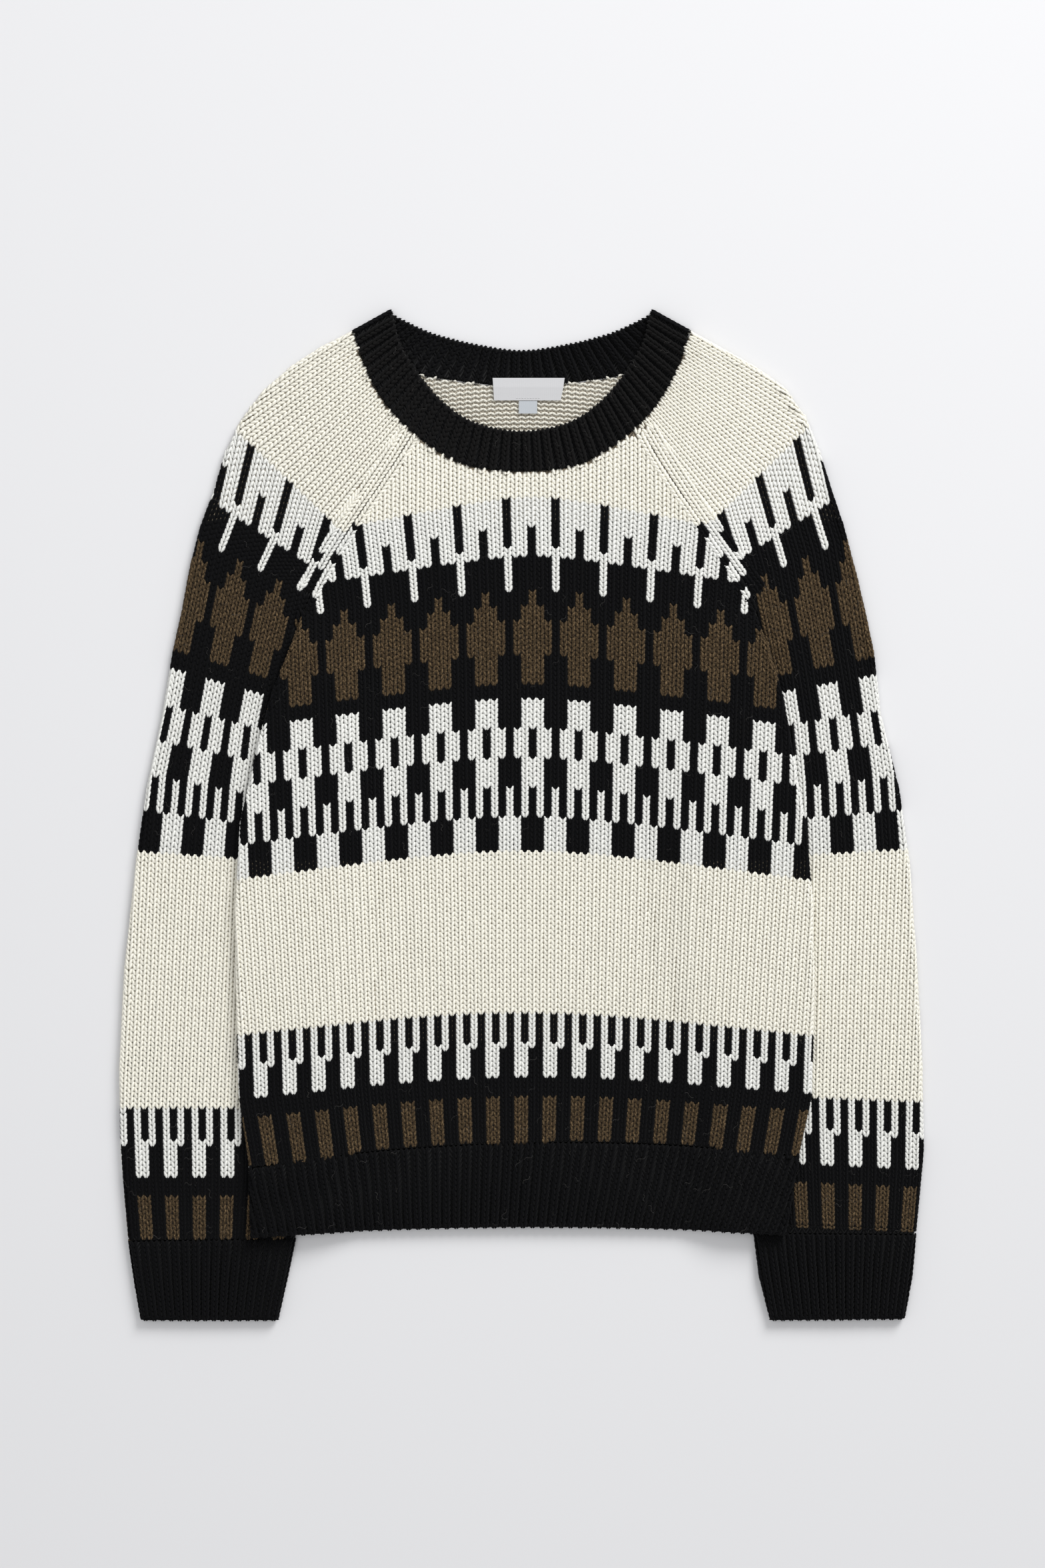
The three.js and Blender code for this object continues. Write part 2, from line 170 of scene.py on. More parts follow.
SLEEVE_RIGHT = [
    (-27, 112.3, 340.2, 2.23, 3.95),
    (0, 194.8, 275.4, 4.80, 4.75),
    (12, 208.3, 224.4, 4.95, 3.20),
    (19, 216.0, 198.9, 5.28, 2.30),
    (38, 230.8, 115.8, 5.31, 1.03),
    (47, 236.9, 76.5, 5.35, 0.85),
    (59, 242.5, 27.0, 5.60, 0.65),
    (72, 245.1, -26.5, 5.80, 0.35),
    (122, 240.7, -214.2, 5.55, -0.20),
    (135, 241.5, -265.2, 5.40, -0.25),
    (149, 242.0, -314.7, 5.00, -0.20),
]

# Raglans: places in metres, the lift of their wales in millimetres, and the wales kept free beside them
UNDERARM = 0.152
BODY_SEAM_START = UNDERARM + 0.006
SLEEVE_SEAM_START = UNDERARM + 0.016
SLEEVE_WALE_START = UNDERARM + 0.018
SLEEVE_FOLD_TOP = 0.1
RAGLAN_END = 0.078
RAGLAN_TOP = 0.293
RAGLAN_LIFT = 0.35
BODY_FREE_WALES = 0.7
SLEEVE_FREE_WALES = 1.65

# Which edges count as a seam, a side or a lower edge: a share of their way out along X or Y
BODY_SEAM_OUT = 0.72
SLEEVE_SEAM_OUT = -0.6
SLEEVE_SIDE_OUT = 0.25
SIDE_OUT = 0.75

# Purl side inside the back, in stitches and millimetres
PURL_ROWS = (0, 26)
PURL_WALES = (-15, 16)
PURL_TOP = 346
PURL_COURSE = 3.5
PURL_DROOP = 0.0011
PURL_REACH = 18

# Heights in metres from which the ground is looked for: over everything, the purl side and the back band
RAY_START = 0.05
PURL_RAY = 0.0036
BAND_RAY = 0.0046

# Ribs
RIB_WIDTH = 5.7
CAST_ON = (3.0, 3.7)
CAST_ON_INSET = 1.3
HEM_RIBS = 56
HEM_ROWS = 15
HEM_EDGE = (-206, -321, 201, -319, -314)
BODY_FOOT = (-207, 211)
CUFF_RIBS = 16
CUFF_ROWS = 16
CUFF_LEFT = [(-300, -325.3, -173, -323.3), (-295, -358, -179, -352), (-290, -385, -186, -385)]
CUFF_RIGHT = [(301, -320.3, 178, -319.3), (298, -352, 182, -352), (292, -384, 190, -385)]
FRONT_RIBS = 40
BACK_RIBS = 28
BAND_ROWS = 8
SEAM_FRONT = [(-127, 366), (-119, 342), (-106, 318), (-88, 297), (-65, 279), (-40, 267), (0, 263)]
FREE_FRONT = [(-98, 382), (-93, 361), (-80, 339), (-62, 317), (-37, 300), (0, 293)]
SEAM_BACK = [(-127, 366), (-111, 354), (-92, 344), (-77, 337), (-54, 333), (0, 328)]
FREE_BACK = [(-98, 382), (-88, 377), (-68, 368), (-37, 360), (0, 355)]
BAND_RADIUS = 4.2
BAND_MIDDLE = 4
HEM_SPREAD = 14

# Lowest face that counts as a piece's upper side, in millimetres, and how far such faces look up
BODY_UPPER = 3.2
TUBE_UPPER = 3.9
LOW_UPPER = 1
UPPER_FACING = 0.3

# Sewing under the label, in millimetres
SEWING_STITCHES = 9
SEWING_X = (-3.4, 13.4)
SEWING_Y = 318.6

# Stray hairs: sizes in metres, spreads of size and tone, and how many lie on each part
HAIR_REACH = 0.006
HAIR_THICKNESS = 0.00005
HAIR_START = (0.005, 0.0012)
HAIR_END = (-0.003, 0.0009)
HAIR_SIZES = (0.25, 0.7)
HAIR_TONES = (0.5, 1.6)
DARK_YARN = 0.1
FRONT_HAIRS = 170
SLEEVE_HAIRS = 70
HEM_HAIRS = 40
BAND_HAIRS = 30

# Floor, lights and camera, in metres and watts
FLOOR_SIZE = 8
FLOOR_DROP = 0.0002
FLOOR_COLOUR = (0.735, 0.735, 0.745, 1)
SKY_COLOUR = (0.98, 0.985, 1, 1)
SKY_STRENGTH = 0.53
CAMERA_HEIGHT = 2.4
CAMERA_AT = (0.0008, 0.024)
FRAME_LENGTH = 1.1995
SENSOR = 36

# How stitches end at an edge: radius they roll over in millimetres, and the furthest turn in radians
FOLD = (3.2, 2.5)
SEAM = (1.7, 0.95)
JOIN = (0.5, 0.8)
EDGE = (1.8, 1.7)

rng = np.random.default_rng(7)

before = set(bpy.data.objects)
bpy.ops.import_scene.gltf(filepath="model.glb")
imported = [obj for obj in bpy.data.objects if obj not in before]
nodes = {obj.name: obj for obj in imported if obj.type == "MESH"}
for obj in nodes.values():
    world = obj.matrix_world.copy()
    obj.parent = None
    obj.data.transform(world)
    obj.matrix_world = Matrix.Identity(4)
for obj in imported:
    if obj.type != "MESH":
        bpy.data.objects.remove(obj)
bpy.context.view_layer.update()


# Finishes

def link(source, target):
    source.id_data.links.new(source, target)


def add_node(tree, kind, operation=None, group=None, **values):
    """A shader node with plain values on its inputs; _ stands for a space in an input's name."""
    node = tree.nodes.new("ShaderNode" + kind)
    if operation is not None:
        node.operation = operation
    if group is not None:
        node.node_tree = group
    for name, value in values.items():
        node.inputs[name.replace("_", " ")].default_value = value
    return node


def math_node(tree, operation, second=None):
    """A maths node, with its second input where that is a plain value."""
    node = add_node(tree, "Math", operation)
    if second is not None:
        node.inputs[1].default_value = second
    return node


def mixed_colour(tree, factor, first, second):
    """Two colours mixed by a factor."""
    node = add_node(tree, "Mix")
    node.data_type = "RGBA"
    link(factor, node.inputs["Factor"])
    link(first, node.inputs["A"])
    link(second, node.inputs["B"])
    return node.outputs["Result"]


def new_group(name, inputs, outputs):
    """A node group with the named kinds of sockets, and its two end nodes."""
    group = bpy.data.node_groups.new(name, "ShaderNodeTree")
    for way, sockets in (("INPUT", inputs), ("OUTPUT", outputs)):
        for socket, kind in sockets.items():
            group.interface.new_socket(socket, in_out=way, socket_type="NodeSocket" + kind)
    return group, group.nodes.new("NodeGroupInput"), group.nodes.new("NodeGroupOutput")


def new_material(name, roughness, sheen):
    """A material with its shader's plain values set on the shader itself."""
    material = bpy.data.materials.new(name)
    material.use_nodes = True
    tree = material.node_tree
    shader = tree.nodes["Principled BSDF"]
    shader.inputs["Roughness"].default_value = roughness
    shader.inputs["Sheen Weight"].default_value = sheen
    shader.inputs["Sheen Roughness"].default_value = 0.6
    shader.inputs["Specular IOR Level"].default_value = 0.06
    return material, tree, shader


def surface(tree, shader, shade, height, strength, depth):
    """Shades the shader's colour and bumps it; returns the input that takes the colour."""
    tint = add_node(tree, "VectorMath", "SCALE")
    bump = add_node(tree, "Bump", Strength=strength, Distance=depth)
    link(shade, tint.inputs["Scale"])
    link(tint.outputs["Vector"], shader.inputs["Base Color"])
    link(height, bump.inputs["Height"])
    link(bump.outputs["Normal"], shader.inputs["Normal"])
    return tint.inputs[0]


def drawn_out(tree, source, target):
    """Links a place to a texture, with the texture drawn out along the wales."""
    stretch = add_node(tree, "VectorMath", "MULTIPLY")
    stretch.inputs[1].default_value = ALONG_YARN
    link(source, stretch.inputs[0])
    link(stretch.outputs["Vector"], target)


def fibre_group():
    """Fine wool fibres: a shade that varies along the yarn and a height for the bump."""
    group, source, target = new_group(
        "wool_fibres", {"Vector": "Vector", "Scale": "Float"}, {"Shade": "Float", "Height": "Float"}
    )
    fine = add_node(group, "TexNoise", Detail=3, Distortion=1.2)
    shade = add_node(group, "MapRange", From_Min=0.3, From_Max=0.7, To_Min=0.84, To_Max=1.1)
    drawn_out(group, source.outputs["Vector"], fine.inputs["Vector"])
    link(source.outputs["Scale"], fine.inputs["Scale"])
    link(fine.outputs["Fac"], shade.inputs["Value"])
    link(shade.outputs["Result"], target.inputs["Shade"])
    link(fine.outputs["Fac"], target.inputs["Height"])
    return group


FIBRES = fibre_group()


def add_fibres(tree, shader, colour):
    """Varies a colour with the fibres, and bumps the shader with them."""
    place = add_node(tree, "TexCoord")
    fibres = add_node(tree, "Group", group=FIBRES, Scale=FIBRE_SCALE)
    link(place.outputs["Object"], fibres.inputs["Vector"])
    shade, height = fibres.outputs["Shade"], fibres.outputs["Height"]
    link(colour, surface(tree, shader, shade, height, 0.6, FIBRE_DEPTH))


def yarn_finish(name):
    """Wool yarn. The colour comes from each stitch; flecks show where the yarn is a heather."""
    material, tree, shader = new_material(name, 0.9, 0.02)
    yarn = add_node(tree, "Attribute")
    yarn.attribute_name = "yarn"
    heather = add_node(tree, "Attribute")
    heather.attribute_name = "heather"
    place = add_node(tree, "TexCoord")
    flecks = add_node(tree, "TexNoise", Scale=FLECK_SCALE, Detail=2)
    ramp = add_node(tree, "MapRange", From_Min=0.47, From_Max=0.66)
    amount = math_node(tree, "MULTIPLY")
    mixed = add_node(tree, "Mix")
    mixed.data_type = "RGBA"
    mixed.inputs["B"].default_value = (*FLECK, 1)
    drawn_out(tree, place.outputs["Object"], flecks.inputs["Vector"])
    link(flecks.outputs["Fac"], ramp.inputs["Value"])
    link(ramp.outputs["Result"], amount.inputs[0])
    link(heather.outputs["Fac"], amount.inputs[1])
    link(amount.outputs["Value"], mixed.inputs["Factor"])
    link(yarn.outputs["Color"], mixed.inputs["A"])
    add_fibres(tree, shader, mixed.outputs["Result"])
    return material


def loops_group():
    """Rows of knitted loops: a chevron height from X and Y, in metres."""
    group, source, target = new_group(
        "knit_loops", {"Vector": "Vector", "Wale": "Float", "Course": "Float"}, {"Height": "Float"}
    )
    parts = add_node(group, "SeparateXYZ")
    half = math_node(group, "MULTIPLY", 0.5)
    arm = math_node(group, "PINGPONG")
    slant = math_node(group, "MULTIPLY_ADD", LOOP_SLANT)
    turns = math_node(group, "DIVIDE")
    angle = math_node(group, "MULTIPLY", 2 * math.pi)
    wave = math_node(group, "SINE")
    link(source.outputs["Vector"], parts.inputs["Vector"])
    link(source.outputs["Wale"], half.inputs[0])
    link(parts.outputs["X"], arm.inputs[0])
    link(half.outputs[0], arm.inputs[1])
    link(arm.outputs[0], slant.inputs[0])
    link(parts.outputs["Y"], slant.inputs[2])
    link(slant.outputs[0], turns.inputs[0])
    link(source.outputs["Course"], turns.inputs[1])
    link(turns.outputs[0], angle.inputs[0])
    link(angle.outputs[0], wave.inputs[0])
    link(wave.outputs[0], target.inputs["Height"])
    return group


LOOPS = loops_group()


def banded(tree, bands):
    """A ramp node of flat colours, for a share of the length from BACKING_LOW to BACKING_HIGH."""
    ramp = add_node(tree, "ValToRGB")
    ramp.color_ramp.interpolation = "CONSTANT"
    stops = ramp.color_ramp.elements
    stops[0].position = 0
    stops[0].color = (*bands[0][1], 1)
    stops.remove(stops[1])
    for y, colour in bands[1:]:
        stop = stops.new((y - BACKING_LOW) / (BACKING_HIGH - BACKING_LOW))
        stop.color = (*colour, 1)
    return ramp


def backing_finish(name, bands, underside=None):
    """The cloth under the stitches: bands of colour along Y, and rows of loops as a bump and as painted
    shade that darkens the colour between the loops.

    underside is a node group that colours the faces that look down.
    """
    material, tree, shader = new_material(name, 0.95, 0.05)
    place = add_node(tree, "TexCoord")
    parts = add_node(tree, "SeparateXYZ")
    height = add_node(tree, "MapRange", From_Min=BACKING_LOW, From_Max=BACKING_HIGH)
    ramp = banded(tree, bands)
    colour = ramp.outputs["Color"]
    if underside is not None:
        charted = add_node(tree, "Group", group=underside)
        shape = add_node(tree, "NewGeometry")
        facing = add_node(tree, "SeparateXYZ")
        down = math_node(tree, "LESS_THAN", UNDERSIDE_FACING)
        link(place.outputs["Object"], charted.inputs["Vector"])
        link(shape.outputs["Normal"], facing.inputs["Vector"])
        link(facing.outputs["Z"], down.inputs[0])
        colour = mixed_colour(tree, down.outputs[0], colour, charted.outputs["Color"])
    loops = add_node(tree, "Group", group=LOOPS, Wale=WALE * MM, Course=COURSE * MM)
    # Painted shade: the colour darkens to 0.55 of itself where the loops are low
    shade = add_node(tree, "MapRange", From_Min=-1, To_Min=0.55)
    link(place.outputs["Object"], parts.inputs["Vector"])
    link(place.outputs["Object"], loops.inputs["Vector"])
    link(parts.outputs["Y"], height.inputs["Value"])
    link(height.outputs["Result"], ramp.inputs["Fac"])
    link(loops.outputs["Height"], shade.inputs["Value"])
    link(colour, surface(tree, shader, shade.outputs["Result"], loops.outputs["Height"], 0.8, LOOP_DEPTH))
    return material


YARN = yarn_finish("wool_yarn")
RIB_YARN = yarn_finish("black_rib_yarn")
BACKING = backing_finish("knit_backing", BACKING_YARN_AND_SHADE_BANDS)
RIB_BACKING = backing_finish("rib_backing", [(BACKING_LOW, BLACK)])


def tape_finish(name, colour):
    """Woven tape: fine crossing ribs of thread."""
    material, tree, shader = new_material(name, 0.55, 0.15)
    place = add_node(tree, "TexCoord")
    across = add_node(tree, "TexWave", Scale=TAPE_SCALES[0])
    across.bands_direction = "X"
    down = add_node(tree, "TexWave", Scale=TAPE_SCALES[1])
    down.bands_direction = "Y"
    weave = math_node(tree, "MULTIPLY")
    shade = add_node(tree, "MapRange", To_Min=0.86)
    link(place.outputs["Object"], across.inputs["Vector"])
    link(place.outputs["Object"], down.inputs["Vector"])
    link(across.outputs["Fac"], weave.inputs[0])
    link(down.outputs["Fac"], weave.inputs[1])
    link(weave.outputs["Value"], shade.inputs["Value"])
    tint = surface(tree, shader, shade.outputs["Result"], weave.outputs["Value"], 0.4, TAPE_DEPTH)
    tint.default_value = colour
    return material


# The stitch, modelled once

def deselect():
    if bpy.context.object and bpy.context.object.mode != "OBJECT":
        bpy.ops.object.mode_set(mode="OBJECT")
    bpy.ops.object.select_all(action="DESELECT")


def model_leg():
    """One leg of a stitch before it leans: a small slim drop along Y."""
    deselect()
    bpy.ops.mesh.primitive_uv_sphere_add(segments=4, ring_count=4, radius=0.5)
    leg = bpy.context.object
    bpy.ops.object.mode_set(mode="EDIT")
    bpy.ops.mesh.select_all(action="SELECT")
    bpy.ops.transform.rotate(value=math.pi / 2, orient_axis="X", center_override=(0, 0, 0))
    bpy.ops.transform.resize(value=(LEG_WIDTH * MM, LEG_LENGTH * MM, LEG_HEIGHT * MM))
    bpy.ops.mesh.quads_convert_to_tris()
    bpy.ops.object.mode_set(mode="OBJECT")
    return leg


def leg_shape(leg):
    """Points, triangles and flat layout of the modelled leg."""
    mesh = leg.data
    points = np.array([v.co for v in mesh.vertices], float)
    faces = np.array([p.vertices for p in mesh.polygons], int)
    layout = np.array([d.uv for d in mesh.uv_layers[0].data], float)
    layout = (layout - layout.min(0)) / (layout.max(0) - layout.min(0))
    return points, faces, layout


def turned(points, degrees, plane):
    """Points turned in a plane, given as its two axes."""
    a, b = plane
    angle = math.radians(degrees)
    out = points.copy()
    out[:, a] = points[:, a] * math.cos(angle) - points[:, b] * math.sin(angle)
    out[:, b] = points[:, a] * math.sin(angle) + points[:, b] * math.cos(angle)
    return out


def make_stitch(leg, size, lean, dip):
    """Two legs that lean and dip, in units of a wale and a course; heights stay in metres."""
    points, faces, layout = leg_shape(leg)
    taper = 1 + LEG_TAPER * points[:, 1] / (LEG_LENGTH * MM / 2)
    points[:, 0] *= taper
    points = turned(points * size, -dip, (1, 2))
    right = turned(points, -lean, (0, 1))
    right[:, 0] += WALE * MM / 4
    left = right * (-1, 1, 1)
    both = np.vstack([right, left]) / (WALE * MM, COURSE * MM, 1)
    flipped = faces[:, ::-1] + len(points)
    flipped_layout = layout.reshape(-1, 3, 2)[:, ::-1].reshape(-1, 2)
    layout_right = layout * BAKE_SIZE + BAKE_RIGHT
    layout_left = flipped_layout * BAKE_SIZE + BAKE_LEFT
    return both, np.vstack([faces, flipped]), np.vstack([layout_right, layout_left])


def make_thread(leg):
    """One short sewn stitch, lying along X, in metres."""
    points, faces, layout = leg_shape(leg)
    return turned(points * THREAD_SIZE, 90, (0, 1)), faces, layout * 0.9 + 0.05


def model_fibre():
    """One stray fibre: a thin curved hair, modelled as a curve and made a mesh."""
    deselect()
    bpy.ops.curve.primitive_bezier_curve_add(radius=HAIR_REACH)
    fibre = bpy.context.object
    start, end = fibre.data.splines[0].bezier_points
    start.handle_right.z = HAIR_START[1]
    start.handle_right.y = HAIR_START[0]
    end.handle_left.z = HAIR_END[1]
    end.handle_left.y = HAIR_END[0]
    fibre.data.resolution_u = 6
    fibre.data.bevel_depth = HAIR_THICKNESS
    fibre.data.bevel_resolution = 0
    bpy.ops.object.convert(target="MESH")
    bpy.ops.object.mode_set(mode="EDIT")
    bpy.ops.mesh.select_all(action="SELECT")
    bpy.ops.mesh.quads_convert_to_tris()
    bpy.ops.uv.smart_project()
    bpy.ops.object.mode_set(mode="OBJECT")
    return fibre


LEG = model_leg()
STITCH = make_stitch(LEG, (1, 1, 1), LEG_LEAN, LEG_DIP)
PURL = make_stitch(LEG, PURL_SIZE, -PURL_LEAN, 0)
THREAD = make_thread(LEG)
bpy.data.objects.remove(LEG)
HAIR = model_fibre()
FIBRE = leg_shape(HAIR)
bpy.data.objects.remove(HAIR)


# Laying stitches

class Ground:
    """A CAD node as a surface to lay stitches on, with the outline of its upper side."""

    def __init__(self, node, above=BODY_UPPER):
        mesh = bmesh.new()
        mesh.from_mesh(nodes[node].data)
        bmesh.ops.remove_doubles(mesh, verts=mesh.verts, dist=MERGE)
        mesh.normal_update()
        self.tree = BVHTree.FromBMesh(mesh)
        facing = [f for f in mesh.faces if f.normal.z > UPPER_FACING]
        upper = {f for f in facing if f.calc_center_median().z > above * MM}
        rim = []
        out = []
        for edge in mesh.edges:
            faces = [f for f in edge.link_faces if f in upper]
            if len(faces) != 1:
                continue
            a, b = (Vector(v.co.xy) for v in edge.verts)
            if (b - a).length < MERGE:
                continue
            side = (b - a).orthogonal().normalized()
            if side.dot(faces[0].calc_center_median().xy - a) > 0:
                side = -side
            count = max(1, math.ceil((b - a).length / MM))
            for k in range(count):
                rim.append(a.lerp(b, (k + 0.5) / count))
                out.append(side)
        mesh.free()
        self.rim = np.array(rim)
        self.out = np.array(out)
        self.near = KDTree(len(rim))
        for k, point in enumerate(rim):
            self.near.insert((point.x, point.y, 0), k)
        self.near.balance()

    def edge(self, place):
        """Distance inside the outline, nearest point of it and the way out, for each place."""
        index = np.array([self.near.find((x, y, 0))[1] for x, y in place])
        nearest = self.rim[index]
        out = self.out[index]
        return ((nearest - place) * out).sum(1), nearest, out

    def below(self, place, start=RAY_START):
        """Height and normal of the surface under each place; the height is nan beside it."""
        heights = np.full(len(place), np.nan)
        normals = np.tile((0.0, 0.0, 1.0), (len(place), 1))
        for k, (x, y) in enumerate(place):
            hit, normal, _, _ = self.tree.ray_cast((x, y, start), (0, 0, -1))
            if hit is not None:
                heights[k] = hit.z
                normals[k] = normal
        return heights, normals


def lay(place, wale, course, ground, ends, clip=None, level=False):
    """Lays stitches on a ground and rolls those at its edges over them.

    place, wale and course are plan points and steps in metres. ends gives each edge's roll, FOLD, SEAM,
    JOIN or EDGE. Returns centres, steps, and which are kept.
    """
    inside, nearest, out = ground.edge(place)
    roll = ends(nearest, out)
    radius = roll[:, 0] * MM
    turn = np.clip((radius - inside) / radius, 0, None)
    keep = turn < roll[:, 1]
    if clip is not None:
        keep &= clip(place, inside, nearest, out)
    rolled = turn > 0
    edge_place = nearest - out * (radius * (1 - np.sin(turn)))[:, None]
    plan = np.where(rolled[:, None], edge_place, place)
    cast = np.where(rolled[:, None], nearest - out * (radius + MM)[:, None], place)
    height, normal = ground.below(cast)
    keep &= ~np.isnan(height)
    if level:
        normal[:] = (0, 0, 1)
    centre = np.column_stack([plan, height - radius * (1 - np.cos(turn))])
    way = np.column_stack([out, np.zeros(len(out))])
    steps = []
    for step in (wale, course):
        rise = -(step * normal[:, :2]).sum(1) / normal[:, 2]
        full = np.column_stack([step, rise])
        share = (full * way).sum(1)[:, None]
        down = np.column_stack([out * np.cos(turn)[:, None], -np.sin(turn)])
        steps.append(np.where(rolled[:, None], full - share * way + share * down, full))
    return centre[keep], steps[0][keep], steps[1][keep], keep


def edges(nearest, *choices):
    """Roll of each edge point: the last choice whose test holds, or a join."""
    roll = np.tile(np.array(JOIN), (len(nearest), 1))
    for kind, on in choices:
        roll[on] = kind
    return roll


def knit(name, centre, wale, course, colour, heather, material, slot,
         sink=STITCH_SINK, model=STITCH, loose=LOOSE):
    """One piece made of copies of a stitch, each with its own place, size and yarn."""
    shape, faces, layout = model
    count = len(centre)
    normal = np.cross(wale, course)
    normal /= np.linalg.norm(normal, axis=1)[:, None]
    jitter = rng.uniform(-loose, loose, (count, 2))
    centre = centre + wale * jitter[:, :1] + course * jitter[:, 1:] - normal * sink * MM
    size = rng.uniform(*SIZE_SPREAD, count)[:, None]
    points = (
        centre[:, None, :]
        + shape[None, :, :1] * (wale * size)[:, None, :]
        + shape[None, :, 1:2] * (course * size)[:, None, :]
        + shape[None, :, 2:] * normal[:, None, :]
    ).reshape(-1, 3)
    points[:, 2] = np.maximum(points[:, 2], FLOOR_GAP * MM)
    offsets = (np.arange(count) * len(shape))[:, None, None]
    triangles = (faces[None] + offsets).reshape(-1, 3)
    mesh = bpy.data.meshes.new(name)
    mesh.from_pydata(points, [], triangles)
    tone = rng.uniform(*TONE_SPREAD, count)[:, None]
    rgba = np.column_stack([colour * tone, np.ones(count)])
    yarn = mesh.attributes.new("yarn", "FLOAT_COLOR", "POINT")
    yarn.data.foreach_set("color", np.repeat(rgba, len(shape), 0).astype(np.float32).ravel())
    fleck = mesh.attributes.new("heather", "FLOAT", "POINT")
    fleck.data.foreach_set("value", np.repeat(heather, len(shape)).astype(np.float32))
    side = math.ceil(math.sqrt(count))
    cell = np.column_stack([np.arange(count) % side, np.arange(count) // side])
    flat = (cell[:, None, :] + layout[None]) / side
    uv = mesh.uv_layers.new(name="OFBake")
    uv.data.foreach_set("uv", flat.astype(np.float32).ravel())
    mesh.polygons.foreach_set("use_smooth", np.ones(len(triangles), bool))
    mesh.materials.append(material)
    mesh.update()
    piece = bpy.data.objects.new(name, mesh)
    bpy.context.scene.collection.objects.link(piece)
    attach(piece, "root")
    return piece


def plain_knit(name, centre, wale, course, yarn, material, slot, sink, model=STITCH, loose=LOOSE):
    """A piece in one colour of yarn."""
    colour = np.tile(yarn, (len(centre), 1))
    heather = np.zeros(len(centre))
    return knit(name, centre, wale, course, colour, heather, material, slot, sink, model, loose)


def chart_colours(wale, row, border):
    """Colour and heather of each stitch; wale 0 is the first column of the yoke's repeat."""
    colour = np.tile(CREAM, (len(row), 1))
    heather = np.zeros(len(row))
    stretches = []
    start = CHART_START
    for last, repeat in YOKE:
        stretches.append((start, last, repeat, 0))
        start = last + 1
    start = border
    for last, repeat in BORDER:
        stretches.append((start, border + last, repeat, BORDER_SHIFT))
        start = border + last + 1
    for first, last, repeat, shift in stretches:
        on = (row >= first) & (row <= last)
        column = (wale + shift) % len(repeat)
        for k, letter in enumerate(repeat):
            chosen = on & (column == k)
            colour[chosen] = YARNS[letter]
            heather[chosen] = 1.0 if letter == "b" else 0.0
    return colour, heather


# Front of the body

def body_row_y(x, row):
    """Height on the page of a body row, in millimetres."""
    crown = np.interp(row, *BODY_CROWN)
    off = x - np.interp(row, *BODY_AXIS)
    droop = np.interp(row, *BODY_DROOP) * (np.sqrt(off * off + crown * crown) - crown)
    return BODY_CENTRE_Y - COURSE * row * COURSE_FIT - droop + np.interp(row, *BODY_TILT) * x


def body_place(wale, row):
    """Plan place of a body stitch, in metres."""
    x = np.interp(row, *BODY_FIX_X) + (wale - BODY_FIX_WALE) * np.interp(row, *BODY_PITCH)
    return np.column_stack([x, body_row_y(x, row)]) * MM


def grid(place, wales, rows):
    """Places and steps of a whole grid of stitches."""
    wale, row = (a.ravel() for a in np.meshgrid(np.arange(*wales), np.arange(*rows)))
    across = place(wale + 0.5, row) - place(wale - 0.5, row)
    up = place(wale, row - 0.5) - place(wale, row + 0.5)
    return wale, row, place(wale, row), across, up


def split(centre, parts):
    """Indices of the stitches in a number of equal parts, from the neck down."""
    return np.array_split(np.argsort(-centre[:, 1], kind="stable"), parts)


front = Ground("front_panel")
back = Ground("back_panel", above=LOW_UPPER)


def on_raglan(nearest, out):
    height = nearest[:, 1]
    beside = (height > BODY_SEAM_START) & (height < RAGLAN_TOP)
    return beside & (out[:, 1] < BODY_SEAM_OUT) & (np.abs(nearest[:, 0]) > RAGLAN_END)


def body_ends(nearest, out):
    side = (np.abs(out[:, 0]) > SIDE_OUT) & (nearest[:, 1] < UNDERARM)
    return edges(nearest, (SEAM, nearest[:, 1] > UNDERARM), (FOLD, side))


def body_clip(place, inside, nearest, out):
    return ~on_raglan(nearest, out) | (inside > BODY_FREE_WALES * WALE * MM)


def raglan_wale(ground, side, inset, on, low):
    """A wale of stitches inset from a raglan seam, from the height low to the neck."""
    chosen = on(ground.rim, ground.out) & (np.sign(ground.rim[:, 0]) == side)
    edge, out = ground.rim[chosen], ground.out[chosen]
    fit = np.polyfit(edge[:, 1], edge[:, 0], 3)
    y = np.linspace(low, edge[:, 1].max(), 200)
    way_out = out.mean(0) / np.linalg.norm(out.mean(0))
    line = np.column_stack([np.polyval(fit, y), y]) - way_out * inset * MM
    length = np.concatenate([[0], np.cumsum(np.linalg.norm(np.diff(line, axis=0), axis=1))])
    marks = np.arange(COURSE / 2, length[-1] / MM, COURSE) * MM
    spot = np.column_stack([np.interp(marks, length, line[:, k]) for k in (0, 1)])
    step = np.gradient(spot, axis=0)
    step = step / np.linalg.norm(step, axis=1)[:, None] * COURSE * MM
    way = np.column_stack([step[:, 1], -step[:, 0]]) * WALE / COURSE
    return spot, way, step


def flat_ends(nearest, out):
    return edges(nearest, (SEAM, np.ones(len(nearest), bool)))


def nearest_stitch(spots, place, colour, heather):
    """Yarn of the chart's stitch nearest to each spot."""
    near = KDTree(len(place))
    for k, (x, y) in enumerate(place):
        near.insert((x, y, 0), k)
    near.balance()
    index = np.array([near.find((x, y, 0))[1] for x, y in spots[:, :2]])
    return colour[index], heather[index]


wale, row, place, across, up = grid(body_place, BODY_WALES, (TOP_ROW, BODY_LAST_ROW + 1))
charted = chart_colours(wale, row, BODY_BORDER_ROW)
centres, acrosses, ups, keep = lay(place, across, up, front, body_ends, body_clip)
laid = [(centres, acrosses, ups, charted[0][keep], charted[1][keep])]
for side in (-1, 1):
    beside = raglan_wale(front, side, 0.5 * WALE, on_raglan, BODY_SEAM_START)
    spots = lay(*beside, front, flat_ends)[:3]
    spots[0][:, 2] += RAGLAN_LIFT * MM
    laid.append((*spots, *nearest_stitch(spots[0], place, *charted)))
centre, across, up, colour, heather = (np.concatenate(part) for part in zip(*laid))

